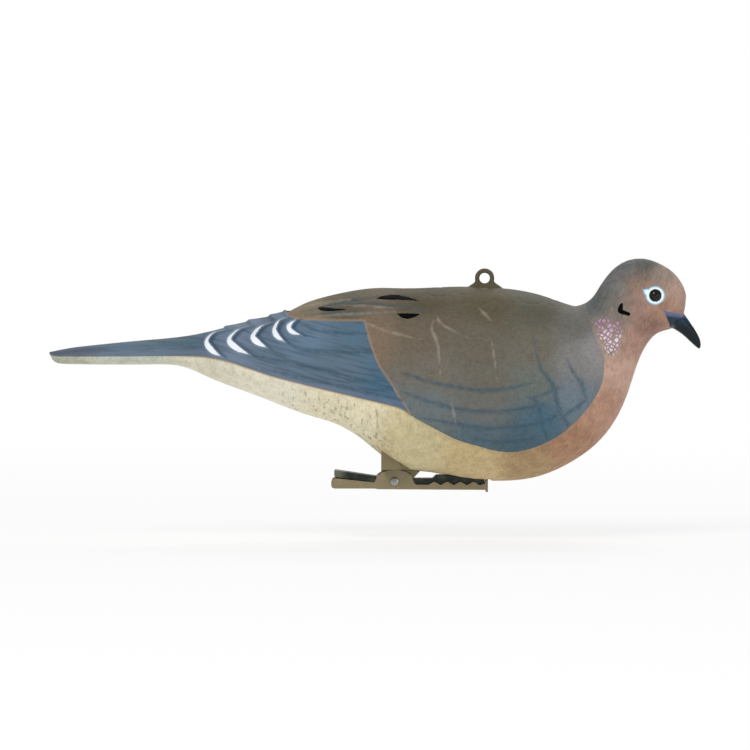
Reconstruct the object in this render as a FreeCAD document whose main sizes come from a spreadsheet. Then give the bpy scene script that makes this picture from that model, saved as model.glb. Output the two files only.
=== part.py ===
import FreeCAD, Part
import Sketcher
import math
import os
from FreeCAD import Vector, Placement, Rotation

# Clip-on dove decoy: a hollow two-part moulded bird on a spring clip.
# The bird faces +X, +Z is up and the two half shells meet on the plane y = 0.
# The origin is the middle of the grip between the two toothed jaws.

doc = FreeCAD.newDocument("dove_decoy")
sheet = doc.addObject("Spreadsheet::Sheet", "Sizes")

SIZES = [
    ("bird_length", 303.2, "tail tip to bill tip"),
    ("bird_height", 103.1, "belly to crown"),
    ("bird_width", 76.0, "across the folded wings"),
    ("wall", 2.0, "shell wall"),
    ("tab_radius", 4.6, "hanging tab, outside"),
    ("tab_hole_radius", 2.4, "hanging eye"),
    ("tab_thickness", 3.0, "both halves together"),
    ("tab_x", 14.5, "hanging eye position"),
    ("tab_z", 95.2, "hanging eye position"),
    ("peg_radius", 1.5, "locating peg"),
    ("peg_length", 3.0, "locating peg past the seam"),
    ("peg_clearance", 0.1, "peg in its socket, radial"),
    ("peg_boss_radius", 3.2, "boss around a peg or socket"),
    ("peg_boss_length", 7.0, "boss from the seam inwards"),
    ("eye_radius", 3.2, "bead eye"),
    ("eye_depth", 1.7, "bead centre below the cheek"),
    ("eye_x", 93.2, "eye position"),
    ("eye_z", 87.4, "eye position"),
    ("sheet_gauge", 0.8, "clip sheet metal"),
    ("clip_width", 14.2, "lower jaw, outside"),
    ("clip_side_gap", 0.3, "between the two jaws' side walls"),
    ("pivot_x", -27.4, "clip pivot"),
    ("pivot_z", 0.9, "clip pivot"),
    ("ear_height", 5.5, "lower jaw's ear above the pivot"),
    ("ear_half_length", 9.2, "half of the ear's base"),
    ("handle_end_x", -56.7, "back end of the lower handle"),
    ("jaw_front_x", 16.0, "front lip of the lower jaw"),
    ("tooth_pitch", 6.05, "clip teeth"),
    ("tooth_first_x", -8.9, "first tooth"),
    ("tooth_top_z", 0.75, "tooth tips"),
    ("tooth_depth", 1.5, "tooth height"),
    ("tooth_count", 4, "lower jaw teeth on each side"),
    ("pin_radius", 1.2, "pivot pin"),
    ("pin_clearance", 0.05, "running fit of the lower jaw on the pin"),
    ("pin_head_radius", 2.15, "riveted head"),
    ("pin_head_height", 0.8, "riveted head"),
    ("wire_radius", 0.5, "spring wire"),
    ("coil_radius", 1.9, "spring coil, to the wire's centre"),
    ("coil_turns", 4, "spring coil"),
    ("coil_pitch", 1.25, "spring coil"),
    ("saddle_back_x", -33.5, "saddle block"),
    ("saddle_front_x", -14.5, "saddle block"),
    ("saddle_width", 29.0, "saddle flange"),
    ("saddle_under_z", 6.8, "underside of the saddle flange"),
    ("saddle_gap", 0.15, "saddle to belly"),
    ("screw_x", -29.4, "saddle screws"),
    ("screw_y", 10.8, "saddle screws"),
    ("screw_radius", 1.45, "screw shank"),
    ("screw_length", 11.0, "screw, overall"),
    ("screw_head_radius", 2.8, "countersunk head"),
    ("screw_head_height", 1.6, "countersunk head"),
    ("screw_head_edge", 0.2, "straight edge round the countersunk head"),
    ("rivet_x", -21.3, "clip rivet"),
    ("rivet_radius", 1.25, "clip rivet"),
    ("recess_back_x", -9.8, "clip recess in the belly"),
    ("recess_front_x", 17.3, "clip recess in the belly"),
    ("recess_top_z", 4.3, "clip recess in the belly"),
]

for row, (alias, value, note) in enumerate(SIZES, start=1):
    sheet.set("A%d" % row, alias)
    sheet.set("B%d" % row, str(value))
    sheet.set("C%d" % row, note)
    sheet.setAlias("B%d" % row, alias)
doc.recompute()


def size(alias):
    return float(sheet.get(alias))


# ---------------------------------------------------------------- bird sections
# Each row: top point x, z, bottom point x, z, half width, height of the widest
# place as a share of the section, fullness (0.55 is an ellipse, 0.7 is squarish).
# The sections stand upright along the body and fan round the nape to the face.

BODY = [
    (-188.0, 61.0, -185.9, 55.7, 6.0, 0.50, 0.72),
    (-168.0, 63.4, -168.0, 55.1, 10.0, 0.45, 0.72),
    (-141.0, 66.0, -141.0, 55.1, 13.0, 0.42, 0.70),
    (-123.0, 67.9, -123.8, 53.6, 16.0, 0.45, 0.66),
    (-111.8, 70.2, -113.3, 49.0, 20.0, 0.50, 0.62),
    (-96.0, 74.2, -98.3, 43.2, 26.0, 0.52, 0.60),
    (-79.5, 78.3, -81.0, 36.6, 31.0, 0.53, 0.59),
    (-69.0, 82.9, -69.8, 32.3, 33.5, 0.53, 0.58),
    (-55.5, 87.1, -56.3, 28.2, 36.0, 0.52, 0.58),
    (-42.0, 89.7, -43.5, 21.2, 37.3, 0.52, 0.58),
    (-33.0, 90.4, -33.8, 13.3, 37.8, 0.53, 0.58),
    (-24.8, 90.3, -24.8, 7.3, 38.0, 0.54, 0.59),
    (-12.0, 90.6, -12.0, 5.2, 38.0, 0.54, 0.59),
    (4.5, 91.2, 4.5, 2.0, 38.0, 0.53, 0.59),
    (21.0, 90.6, 22.5, 1.0, 38.0, 0.52, 0.59),
    (34.5, 88.7, 40.5, 3.4, 37.0, 0.50, 0.59),
    (43.5, 86.1, 56.3, 10.7, 34.5, 0.50, 0.58),
    (50.3, 83.6, 69.8, 21.8, 30.5, 0.50, 0.58),
    (54.8, 82.2, 79.5, 37.9, 25.0, 0.48, 0.55),
    (58.1, 82.2, 85.9, 56.5, 19.5, 0.48, 0.55),
    (61.5, 83.7, 90.0, 64.7, 16.6, 0.50, 0.55),
    (65.3, 87.2, 94.9, 69.7, 15.0, 0.52, 0.56),
    (68.6, 92.3, 99.4, 71.2, 14.2, 0.54, 0.58),
    (73.5, 98.6, 103.1, 72.8, 13.6, 0.54, 0.58),
    (80.3, 103.2, 105.4, 75.0, 12.8, 0.54, 0.58),
    (89.3, 104.1, 106.7, 77.8, 11.4, 0.52, 0.58),
    (98.3, 100.6, 107.5, 81.0, 8.8, 0.50, 0.58),
    (104.6, 95.0, 107.9, 84.6, 5.4, 0.50, 0.55),
    (106.9, 91.1, 108.1, 87.2, 2.2, 0.50, 0.55),
]
HOLLOW_FIRST = 2
HOLLOW_LAST = 26

BILL = [
    (105.0, 81.5, 98.5, 75.0, 4.4, 0.5, 0.55),
    (107.3, 78.5, 101.4, 72.3, 3.9, 0.5, 0.55),
    (110.6, 73.9, 105.3, 69.8, 3.1, 0.5, 0.55),
    (113.3, 69.7, 109.1, 66.4, 2.3, 0.5, 0.55),
    (115.0, 65.5, 112.2, 63.5, 1.5, 0.5, 0.55),
    (115.2, 62.8, 114.1, 62.0, 0.6, 0.5, 0.55),
]

KX = size("bird_length") / 303.2
KZ = size("bird_height") / 103.1
KY = size("bird_width") / 76.0
wall = size("wall")


def scaled(row):
    return (row[0] * KX, row[1] * KZ, row[2] * KX, row[3] * KZ, row[4] * KY, row[5], row[6])


def quarters(row, inset):
    """Cubic poles of the upper and lower quarter of a half section on the -Y side."""
    tx, tz, bx, bz, half, share, fullness = scaled(row)
    up = (Vector(tx, 0, tz) - Vector(bx, 0, bz)).normalize()
    top = Vector(tx, 0, tz) - up * inset
    bottom = Vector(bx, 0, bz) + up * inset
    out = Vector(0, -(half - inset), 0)
    wide = bottom + (top - bottom) * share + out
    upper = [top, top + out * fullness, wide + (top - bottom) * ((1 - share) * fullness), wide]
    lower = [wide, wide - (top - bottom) * (share * fullness), bottom + out * fullness, bottom]
    return upper, lower


def skin(grid, stations):
    """A surface through rows of cubic poles, interpolated along the body."""
    columns = []
    for j in range(4):
        curve = Part.BSplineCurve()
        curve.interpolate(Points=[poles[j] for poles in grid], Parameters=stations)
        columns.append(curve)
    surface = Part.BSplineSurface()
    surface.buildFromPolesMultsKnots(
        [column.getPoles() for column in columns], [4, 4], columns[0].getMultiplicities(),
        [0.0, 1.0], columns[0].getKnots(), False, False, 3, columns[0].Degree)
    return surface, columns[0].toShape(), columns[3].toShape()


def bezier(poles):
    curve = Part.BezierCurve()
    curve.setPoles(poles)
    return curve.toShape()


def loft(rows, inset):
    """A solid half body on the -Y side of the seam plane through the given sections."""
    sections = [quarters(row, inset) for row in rows]
    middles = [(upper[0] + lower[3]) * 0.5 for upper, lower in sections]
    stations = [0.0]
    for a, b in zip(middles, middles[1:]):
        stations.append(stations[-1] + max((b - a).Length, 1.0))
    upper, ridge, side = skin([pair[0] for pair in sections], stations)
    lower, side, keel = skin([pair[1] for pair in sections], stations)
    faces = [upper.toShape(), lower.toShape()]
    first = sections[0]
    last = sections[-1]
    faces.append(Part.Face(Part.Wire(Part.__sortEdges__([
        ridge, Part.makeLine(last[0][0], last[1][3]), keel, Part.makeLine(first[1][3], first[0][0])]))))
    for pair in (first, last):
        faces.append(Part.Face(Part.Wire(Part.__sortEdges__([
            bezier(pair[0]), bezier(pair[1]), Part.makeLine(pair[1][3], pair[0][0])]))))
    shell = Part.Shell(faces)
    shell.sewShape()
    solid = Part.Solid(shell)
    if solid.Volume < 0:
        solid.reverse()
    return solid


def mirrored(shape):
    return shape.mirror(Vector(0, 0, 0), Vector(0, 1, 0))


def box(x0, x1, y0, y1, z0, z1):
    return Part.makeBox(x1 - x0, y1 - y0, z1 - z0, Vector(x0, y0, z0))


def slab(points, y0, y1):
    """An outline in the XZ plane, thick from y0 to y1."""
    corners = [Vector(x, y0, z) for x, z in points]
    face = Part.Face(Part.makePolygon(corners + [corners[0]]))
    return face.extrude(Vector(0, y1 - y0, 0))


def rod(radius, length, base, direction):
    return Part.makeCylinder(radius, length, base, direction)


def add_shape(name, shape):
    feature = doc.addObject("Part::Feature", name)
    feature.Label = name
    feature.Shape = shape
    feature.Placement = Placement()
    return feature


outer = loft(BODY, 0.0)
bill = loft(BILL, 0.0)
cavity = loft(BODY[HOLLOW_FIRST:HOLLOW_LAST], wall)

# ---------------------------------------------------------------- shells
# The right half (-Y) is built first and mirrored; pegs and sockets come last.
half_tab = size("tab_thickness") / 2.0
tab_x = size("tab_x")
tab_z = size("tab_z")
foot_z = tab_z - 6.5
tab = rod(size("tab_radius"), half_tab, Vector(tab_x, -half_tab, tab_z), Vector(0, 1, 0))
tab = tab.fuse(slab([
    (tab_x - 9.6, foot_z),
    (tab_x + 9.6, foot_z),
    (tab_x + 8.0, tab_z - 4.2),
    (tab_x + 4.2, tab_z - 1.6),
    (tab_x - 4.2, tab_z - 1.6),
    (tab_x - 8.0, tab_z - 4.2),
], -half_tab, 0.0))
tab = tab.cut(rod(size("tab_hole_radius"), 20.0, Vector(tab_x, -10.0, tab_z), Vector(0, 1, 0)))

half = outer.fuse(bill).fuse(tab).cut(cavity)

# A thicker floor over the recess that takes the clip's jaws.
recess_back = size("recess_back_x")
recess_front = size("recess_front_x")
recess_top = size("recess_top_z")
clip_half = size("clip_width") / 2.0
recess_half = clip_half + 0.6
floor = box(recess_back - 4.0, recess_front + 4.0, -recess_half - 3.0, 0.0, -5.0, recess_top + wall)
half = half.fuse(floor.common(outer))
half = half.cut(box(recess_back, recess_front, -recess_half, 1.0, -20.0, recess_top))

# The boss for a saddle screw stands on the belly.
screw_x = size("screw_x")
screw_y = size("screw_y")
under_z = size("saddle_under_z")
screw_tip_z = under_z + size("screw_length")
boss = rod(3.4, screw_tip_z + 2.0, Vector(screw_x, -screw_y, 0), Vector(0, 0, 1))
pilot = rod(size("screw_radius") + 0.02, screw_tip_z + 0.3, Vector(screw_x, -screw_y, 0),
            Vector(0, 0, 1))
half = half.fuse(boss.common(outer)).cut(pilot)


def seam_point(row, from_top):
    """Centre of a peg boss that grows out of the wall at the seam."""
    tx, tz, bx, bz = scaled(row)[:4]
    top = Vector(tx, 0, tz)
    bottom = Vector(bx, 0, bz)
    down = (bottom - top).normalize()
    reach = wall + size("peg_boss_radius") - 1.2
    return top + down * reach if from_top else bottom - down * reach


PEGS = [
    seam_point(BODY[5], True),
    seam_point(BODY[15], True),
    seam_point(BODY[24], True),
    seam_point(BODY[16], False),
    seam_point(BODY[8], False),
]
boss_radius = size("peg_boss_radius")
boss_length = size("peg_boss_length")
for centre in PEGS:
    boss = rod(boss_radius, boss_length, centre - Vector(0, boss_length, 0), Vector(0, 1, 0))
    half = half.fuse(boss.common(outer))

# The socket for a bead eye opens to the inside, so the bead is pushed in from there.
eye_x = size("eye_x") * KX
eye_z = size("eye_z") * KZ
probe = Part.makeLine(Vector(eye_x, -1, eye_z), Vector(eye_x, -60, eye_z)).common(outer)
eye_y = -probe.BoundBox.YMin - size("eye_depth")
half = half.cut(Part.makeSphere(size("eye_radius") + 0.03, Vector(eye_x, -eye_y, eye_z)))

right = half
left = mirrored(half)
peg_radius = size("peg_radius")
peg_length = size("peg_length")
peg_gap = size("peg_clearance")
for centre in PEGS:
    right = right.fuse(rod(peg_radius, peg_length + 1.0, centre - Vector(0, 1.0, 0), Vector(0, 1, 0)))
    left = left.cut(rod(peg_radius + peg_gap, peg_length + 0.5, centre, Vector(0, 1, 0)))
right_shell = add_shape("right_shell", right)
left_shell = add_shape("left_shell", left)

# ---------------------------------------------------------------- bead eyes
sheet.set("A90", "eye_y")
sheet.set("B90", str(round(eye_y, 3)))
sheet.set("C90", "found from the cheek")
sheet.setAlias("B90", "eye_y")
sheet.set("A91", "scale_x")
sheet.set("B91", "=bird_length / 303.2")
sheet.setAlias("B91", "scale_x")
sheet.set("A92", "scale_z")
sheet.set("B92", "=bird_height / 103.1")
sheet.setAlias("B92", "scale_z")
doc.recompute()
for name, sign in (("right_eye", "-"), ("left_eye", "")):
    eye = doc.addObject("Part::Sphere", name)
    eye.Label = name
    eye.setExpression("Radius", "Sizes.eye_radius * 1mm")
    eye.setExpression("Placement.Base.x", "Sizes.eye_x * Sizes.scale_x * 1mm")
    eye.setExpression("Placement.Base.y", "%sSizes.eye_y * 1mm" % sign)
    eye.setExpression("Placement.Base.z", "Sizes.eye_z * Sizes.scale_z * 1mm")

# ---------------------------------------------------------------- clip saddle
# Moulded block between the belly and the clip: a flange for the two screws and
# a stem that runs down between the lower jaw's ears to the upper jaw.
back_x = size("saddle_back_x")
front_x = size("saddle_front_x")
gauge = size("sheet_gauge")
pivot_x = size("pivot_x")
pivot_z = size("pivot_z")
web_z = pivot_z + 1.3
stem_half = clip_half - gauge - size("clip_side_gap") - 0.3
coil_top = pivot_z + size("coil_radius") + size("wire_radius")
stem_back = pivot_x + size("coil_radius") + size("wire_radius") + 1.0
flange_front = front_x - 6.5
edge = -size("saddle_width") / 2.0
corner = 4.0
flange = Part.Face(Part.makePolygon([
    Vector(back_x, 0, under_z),
    Vector(back_x, edge, under_z),
    Vector(flange_front - corner, edge, under_z),
    Vector(flange_front, edge + corner, under_z),
    Vector(flange_front, 0, under_z),
    Vector(back_x, 0, under_z),
])).extrude(Vector(0, 0, 20.0))
stem = slab([
    (back_x, coil_top + 0.9),
    (stem_back, coil_top + 0.9),
    (stem_back, web_z + 0.02),
    (front_x - 4.3, web_z + 0.02),
    (front_x, under_z),
    (front_x, under_z + 6.0),
    (back_x, under_z + 20.0),
], -stem_half, 0.0)
saddle = flange.fuse(stem).cut(loft(BODY[7:15], -size("saddle_gap")))
at = Vector(screw_x, -screw_y, under_z)
head_edge = size("screw_head_edge")
head_play = size("screw_head_radius") + 0.1
rim = rod(head_play, head_edge + 0.05, at, Vector(0, 0, 1))
sink = Part.makeCone(head_play, size("screw_radius") + 0.1, size("screw_head_height") - head_edge,
                     at + Vector(0, 0, head_edge + 0.05), Vector(0, 0, 1))
hole = rod(size("screw_radius") + 0.1, 30.0, at, Vector(0, 0, 1))
saddle = saddle.cut(rim).cut(sink).cut(hole)
saddle = saddle.fuse(mirrored(saddle)).removeSplitter()
rivet_x = size("rivet_x")
saddle = saddle.cut(rod(size("rivet_radius") + 0.02, 3.45, Vector(rivet_x, 0, web_z), Vector(0, 0, 1)))
clip_saddle = add_shape("clip_saddle", saddle)


# ---------------------------------------------------------------- sketch helpers
def plane(body, role):
    for feature in body.Origin.OriginFeatures:
        if feature.Role == role:
            return feature
    raise ValueError(role)


def outline(body, role, name, corners):
    """A closed polygon whose corners are held by expressions on the sheet."""
    sketch = body.newObject("Sketcher::SketchObject", name)
    sketch.AttachmentSupport = [(plane(body, role), "")]
    sketch.MapMode = "FlatFace"
    count = len(corners)
    start = [(math.cos(2 * math.pi * i / count) * 50, math.sin(2 * math.pi * i / count) * 50)
             for i in range(count)]
    for i in range(count):
        a = start[i]
        b = start[(i + 1) % count]
        sketch.addGeometry(Part.LineSegment(Vector(a[0], a[1], 0), Vector(b[0], b[1], 0)), False)
    for i in range(count):
        sketch.addConstraint(Sketcher.Constraint("Coincident", i, 2, (i + 1) % count, 1))
    for i, (x, y) in enumerate(corners):
        sketch.addConstraint(Sketcher.Constraint("DistanceX", -1, 1, i, 1, start[i][0]))
        sketch.renameConstraint(sketch.ConstraintCount - 1, "x%d" % i)
        sketch.addConstraint(Sketcher.Constraint("DistanceY", -1, 1, i, 1, start[i][1]))
        sketch.renameConstraint(sketch.ConstraintCount - 1, "y%d" % i)
        sketch.setExpression("Constraints.x%d" % i, "(%s) * 1mm" % x)
        sketch.setExpression("Constraints.y%d" % i, "(%s) * 1mm" % y)
    return sketch


def circle(body, role, name, x, y, radius):
    sketch = body.newObject("Sketcher::SketchObject", name)
    sketch.AttachmentSupport = [(plane(body, role), "")]
    sketch.MapMode = "FlatFace"
    sketch.addGeometry(Part.Circle(Vector(1, 1, 0), Vector(0, 0, 1), 2), False)
    for kind, label, value in (("DistanceX", "x0", x), ("DistanceY", "y0", y)):
        sketch.addConstraint(Sketcher.Constraint(kind, -1, 1, 0, 3, 1.0))
        sketch.renameConstraint(sketch.ConstraintCount - 1, label)
        sketch.setExpression("Constraints.%s" % label, "(%s) * 1mm" % value)
    sketch.addConstraint(Sketcher.Constraint("Radius", 0, 2.0))
    sketch.renameConstraint(sketch.ConstraintCount - 1, "r0")
    sketch.setExpression("Constraints.r0", "(%s) * 1mm" % radius)
    return sketch


def new_body(name):
    body = doc.addObject("PartDesign::Body", name)
    body.Label = name
    return body


def pad(body, sketch, length):
    feature = body.newObject("PartDesign::Pad", sketch.Name + "_pad")
    feature.Profile = sketch
    feature.SideType = "Symmetric"
    feature.setExpression("Length", "(%s) * 1mm" % length)
    body.Tip = feature
    return feature


def pocket(body, sketch, length):
    feature = body.newObject("PartDesign::Pocket", sketch.Name + "_cut")
    feature.Profile = sketch
    feature.SideType = "Symmetric"
    feature.Type = "Length"
    feature.setExpression("Length", "(%s) * 1mm" % length)
    body.Tip = feature
    return feature


def repeat(body, feature, sketch, pitch, count):
    pattern = body.newObject("PartDesign::LinearPattern", feature.Name + "_row")
    pattern.Originals = [feature]
    pattern.Direction = (sketch, ["H_Axis"])
    pattern.Mode = "Spacing"
    pattern.setExpression("Offset", "(%s) * 1mm" % pitch)
    pattern.setExpression("Occurrences", count)
    body.Tip = pattern
    return pattern


def spin(body, sketch):
    feature = body.newObject("PartDesign::Revolution", sketch.Name + "_turned")
    feature.Profile = sketch
    feature.ReferenceAxis = (sketch, ["V_Axis"])
    feature.Angle = 360.0
    body.Tip = feature
    return feature


S = "Sizes."
PX = S + "pivot_x"
PZ = S + "pivot_z"
GAUGE = S + "sheet_gauge"
FRONT = S + "jaw_front_x"
BACK = S + "handle_end_x"
TOP = S + "tooth_top_z"
DEEP = "%s - %stooth_depth" % (TOP, S)
PITCH = S + "tooth_pitch"
FIRST = S + "tooth_first_x"
LOW_OUT = S + "clip_width"
LOW_IN = "%s - 2 * %s" % (LOW_OUT, GAUGE)
UP_OUT = "%s - 2 * %sclip_side_gap" % (LOW_IN, S)
UP_IN = "%s - 2 * %s" % (UP_OUT, GAUGE)

# ---------------------------------------------------------------- lower jaw
lower = new_body("lower_jaw")
web_low = "%s - 3.5" % PZ
channel = outline(lower, "XZ_Plane", "lower_channel", [
    ("%s + 1.6" % BACK, "%s + 0.3" % web_low),
    (PX + " - 9.4", "%s + 0.3" % web_low),
    (PX + " - 7.5", web_low),
    (FRONT + " - 1.0", "%s - 0.3" % web_low),
    (FRONT + " - 1.0", "%s - 1.3" % web_low),
    (FRONT, "%s - 1.3" % web_low),
    (FRONT, "%s + 1.1" % TOP),
    (FRONT + " - 0.9", "%s + 1.1" % TOP),
    (FRONT + " - 1.2", TOP),
    (FIRST, TOP),
    (FIRST + " - 0.3", TOP),
    (FIRST + " - 2.7", TOP + " - 1.3"),
    (PX + " + %sear_half_length + 0.8" % S, TOP + " - 1.25"),
    (PX + " + %sear_half_length" % S, TOP + " - 0.4"),
    (PX + " + %sear_half_length * 0.86" % S, "%s + %sear_height * 0.52" % (PZ, S)),
    (PX + " + %sear_half_length * 0.62" % S, "%s + %sear_height * 0.80" % (PZ, S)),
    (PX + " + %sear_half_length * 0.32" % S, "%s + %sear_height * 0.96" % (PZ, S)),
    (PX, "%s + %sear_height" % (PZ, S)),
    (PX + " - %sear_half_length * 0.32" % S, "%s + %sear_height * 0.96" % (PZ, S)),
    (PX + " - %sear_half_length * 0.62" % S, "%s + %sear_height * 0.80" % (PZ, S)),
    (PX + " - %sear_half_length * 0.86" % S, "%s + %sear_height * 0.52" % (PZ, S)),
    (PX + " - %sear_half_length" % S, PZ + " - 0.4"),
    ("%s + 1.6" % BACK, "%s + 1.6" % PZ),
    ("%s + 0.5" % BACK, "%s + 0.9" % PZ),
    (BACK, "%s - 0.2" % PZ),
    (BACK, "%s - 1.9" % PZ),
    ("%s + 0.5" % BACK, "%s - 2.8" % PZ),
])
pad(lower, channel, LOW_OUT)
hollow = outline(lower, "XZ_Plane", "lower_hollow", [
    (BACK + " + 2.2", "%s + 0.3 + %s" % (web_low, GAUGE)),
    (PX + " - 9.4", "%s + 0.3 + %s" % (web_low, GAUGE)),
    (PX + " - 7.5", "%s + %s" % (web_low, GAUGE)),
    (FRONT + " - 1.0", "%s - 0.3 + %s" % (web_low, GAUGE)),
    (FRONT + " - 1.0", "%s + 9" % PZ),
    (BACK + " + %s" % GAUGE, "%s + 9" % PZ),
    (BACK + " + %s" % GAUGE, "%s - 1.5" % PZ),
])
pocket(lower, hollow, LOW_IN)
notch = outline(lower, "XZ_Plane", "lower_notch", [
    ("%s + 0.35" % FIRST, TOP + " + 0.01"),
    ("%s + %s / 2" % (FIRST, PITCH), DEEP),
    ("%s + %s - 0.35" % (FIRST, PITCH), TOP + " + 0.01"),
])
repeat(lower, pocket(lower, notch, LOW_OUT + " + 2"), notch, PITCH, "%stooth_count - 1" % S)
toe = outline(lower, "XZ_Plane", "lower_toe", [
    ("%s + %s * (%stooth_count - 1) + 0.35" % (FIRST, PITCH, S), TOP + " + 0.01"),
    ("%s + %s * (%stooth_count - 0.5)" % (FIRST, PITCH, S), DEEP),
    (FRONT + " - 1.25", TOP + " - 0.6"),
    (FRONT + " - 1.25", TOP + " + 0.01"),
])
pocket(lower, toe, LOW_OUT + " + 2")
eye_low = circle(lower, "XZ_Plane", "lower_bore", PX, PZ, "%spin_radius + %spin_clearance" % (S, S))
pocket(lower, eye_low, LOW_OUT + " + 2")

# ---------------------------------------------------------------- upper jaw
upper = new_body("upper_jaw")
web_top = "%s + 1.3" % PZ
rise = "%s + 5.25" % PZ
crown = "%s + 2.85" % PZ
UP_BACK = BACK + " + 1.4"
UP_FRONT = FRONT + " - 1.5"
arch = outline(upper, "XZ_Plane", "upper_channel", [
    (UP_BACK, rise + " - 0.5"),
    (UP_BACK, "%s + 2.6" % PZ),
    (UP_BACK + " + 0.6", "%s + 2.2" % PZ),
    (PX + " - 9.6", PZ + " - 0.4"),
    (PX + " - 3.1", PZ + " - 1.9"),
    (PX + " + 4.5", PZ + " - 1.9"),
    (FIRST + " - 2.8", TOP + " - 1.6"),
    (FIRST + " - 1.2", TOP + " - 1.0"),
    (UP_FRONT, TOP + " - 1.0"),
    (UP_FRONT, crown + " - 0.4"),
    (UP_FRONT + " - 0.4", crown),
    (FIRST + " + 0.9", crown),
    (FIRST + " - 0.9", web_top),
    (PX + " + 2.4", web_top),
    (PX + " - 9.5", "%s + 2.55" % PZ),
    (UP_BACK + " + 0.5", rise),
])
pad(upper, arch, UP_OUT)
inside = outline(upper, "XZ_Plane", "upper_hollow", [
    (UP_BACK + " + %s" % GAUGE, "%s - 9" % PZ),
    (UP_FRONT + " - %s" % GAUGE, "%s - 9" % PZ),
    (UP_FRONT + " - %s" % GAUGE, crown + " - %s" % GAUGE),
    (FIRST + " + 1.2", crown + " - %s" % GAUGE),
    (FIRST + " - 0.6", web_top + " - %s" % GAUGE),
    (PX + " + 2.35", web_top + " - %s" % GAUGE),
    (PX + " - 9.45", "%s + 2.55 - %s" % (PZ, GAUGE)),
    (UP_BACK + " + %s" % GAUGE, rise + " - %s - 0.05" % GAUGE),
])
pocket(upper, inside, UP_IN)
bite = outline(upper, "XZ_Plane", "upper_tooth", [
    ("%s + %s * 0.5 - 2.2" % (FIRST, PITCH), TOP + " - 0.95"),
    ("%s + %s * 0.5" % (FIRST, PITCH), DEEP + " - 0.25"),
    ("%s + %s * 0.5 + 2.2" % (FIRST, PITCH), TOP + " - 0.95"),
    ("%s + %s * 0.5 + 2.2" % (FIRST, PITCH), TOP + " - 0.3"),
    ("%s + %s * 0.5 - 2.2" % (FIRST, PITCH), TOP + " - 0.3"),
])
repeat(upper, pad(upper, bite, UP_OUT), bite, PITCH, "%stooth_count - 1" % S)
clear = outline(upper, "XZ_Plane", "upper_mouth", [
    (FIRST + " + 1.2", "%s - 9" % PZ),
    (UP_FRONT + " - %s" % GAUGE, "%s - 9" % PZ),
    (UP_FRONT + " - %s" % GAUGE, crown + " - %s" % GAUGE),
    (FIRST + " + 1.2", crown + " - %s" % GAUGE),
])
pocket(upper, clear, UP_IN)
window = outline(upper, "XY_Plane", "upper_window", [
    (PX + " - 3.1", "-4.6"),
    (PX + " + 3.0", "-4.6"),
    (PX + " + 3.0", "4.6"),
    (PX + " - 3.1", "4.6"),
])
pocket(upper, window, "20")
bore = circle(upper, "XZ_Plane", "upper_bore", PX, PZ, "%spin_radius + 0.02" % S)
pocket(upper, bore, LOW_OUT + " + 2")
seat = circle(upper, "XY_Plane", "upper_rivet_hole", S + "rivet_x", "0", "%srivet_radius + 0.02" % S)
pocket(upper, seat, "20")

# ---------------------------------------------------------------- pivot pin
pin = new_body("pivot_pin")
HALF = "%s / 2" % LOW_OUT
HEAD = S + "pin_head_radius"
TALL = S + "pin_head_height"
pin_outline = outline(pin, "XY_Plane", "pin_side", [
    ("0", "-(%s + 0.07 + %s)" % (HALF, TALL)),
    ("%s * 0.6" % HEAD, "-(%s + 0.07 + %s * 0.86)" % (HALF, TALL)),
    ("%s * 0.9" % HEAD, "-(%s + 0.07 + %s * 0.5)" % (HALF, TALL)),
    (HEAD, "-(%s + 0.07)" % HALF),
    (S + "pin_radius", "-(%s + 0.07)" % HALF),
    (S + "pin_radius", "%s + 0.07" % HALF),
    (HEAD, "%s + 0.07" % HALF),
    ("%s * 0.9" % HEAD, "%s + 0.07 + %s * 0.5" % (HALF, TALL)),
    ("%s * 0.6" % HEAD, "%s + 0.07 + %s * 0.86" % (HALF, TALL)),
    ("0", "%s + 0.07 + %s" % (HALF, TALL)),
])
spin(pin, pin_outline)
pin.setExpression("Placement.Base.x", PX + " * 1mm")
pin.setExpression("Placement.Base.z", PZ + " * 1mm")

# ---------------------------------------------------------------- clip rivet
rivet = new_body("clip_rivet")
rivet_outline = outline(rivet, "XZ_Plane", "rivet_side", [
    ("0", "-0.75"),
    ("1.5", "-0.68"),
    ("2.3", "-0.4"),
    ("2.45", "0"),
    (S + "rivet_radius", "0"),
    (S + "rivet_radius", "4.2"),
    ("0", "4.2"),
])
spin(rivet, rivet_outline)
rivet.setExpression("Placement.Base.x", S + "rivet_x * 1mm")
rivet.setExpression("Placement.Base.z", "(%s + 1.3 - %s - 0.02) * 1mm" % (PZ, GAUGE))

# ---------------------------------------------------------------- saddle screws
for name, sign in (("right_screw", "-"), ("left_screw", "")):
    screw = new_body(name)
    side = outline(screw, "XZ_Plane", name + "_side", [
        ("0", "0"),
        (S + "screw_head_radius", "0"),
        (S + "screw_head_radius", S + "screw_head_edge"),
        (S + "screw_radius", S + "screw_head_height"),
        (S + "screw_radius", "%sscrew_length - 1.4" % S),
        ("0.25", S + "screw_length"),
        ("0", S + "screw_length"),
    ])
    spin(screw, side)
    for turn, (wide, deep) in enumerate((("1.5", "0.32"), ("0.32", "1.5"))):
        slot = outline(screw, "XY_Plane", "%s_slot%d" % (name, turn), [
            ("-" + wide, "-" + deep),
            (wide, "-" + deep),
            (wide, deep),
            ("-" + wide, deep),
        ])
        pocket(screw, slot, "1.8")
    screw.setExpression("Placement.Base.x", S + "screw_x * 1mm")
    screw.setExpression("Placement.Base.y", "%s%sscrew_y * 1mm" % (sign, S))
    screw.setExpression("Placement.Base.z", S + "saddle_under_z * 1mm")

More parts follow.
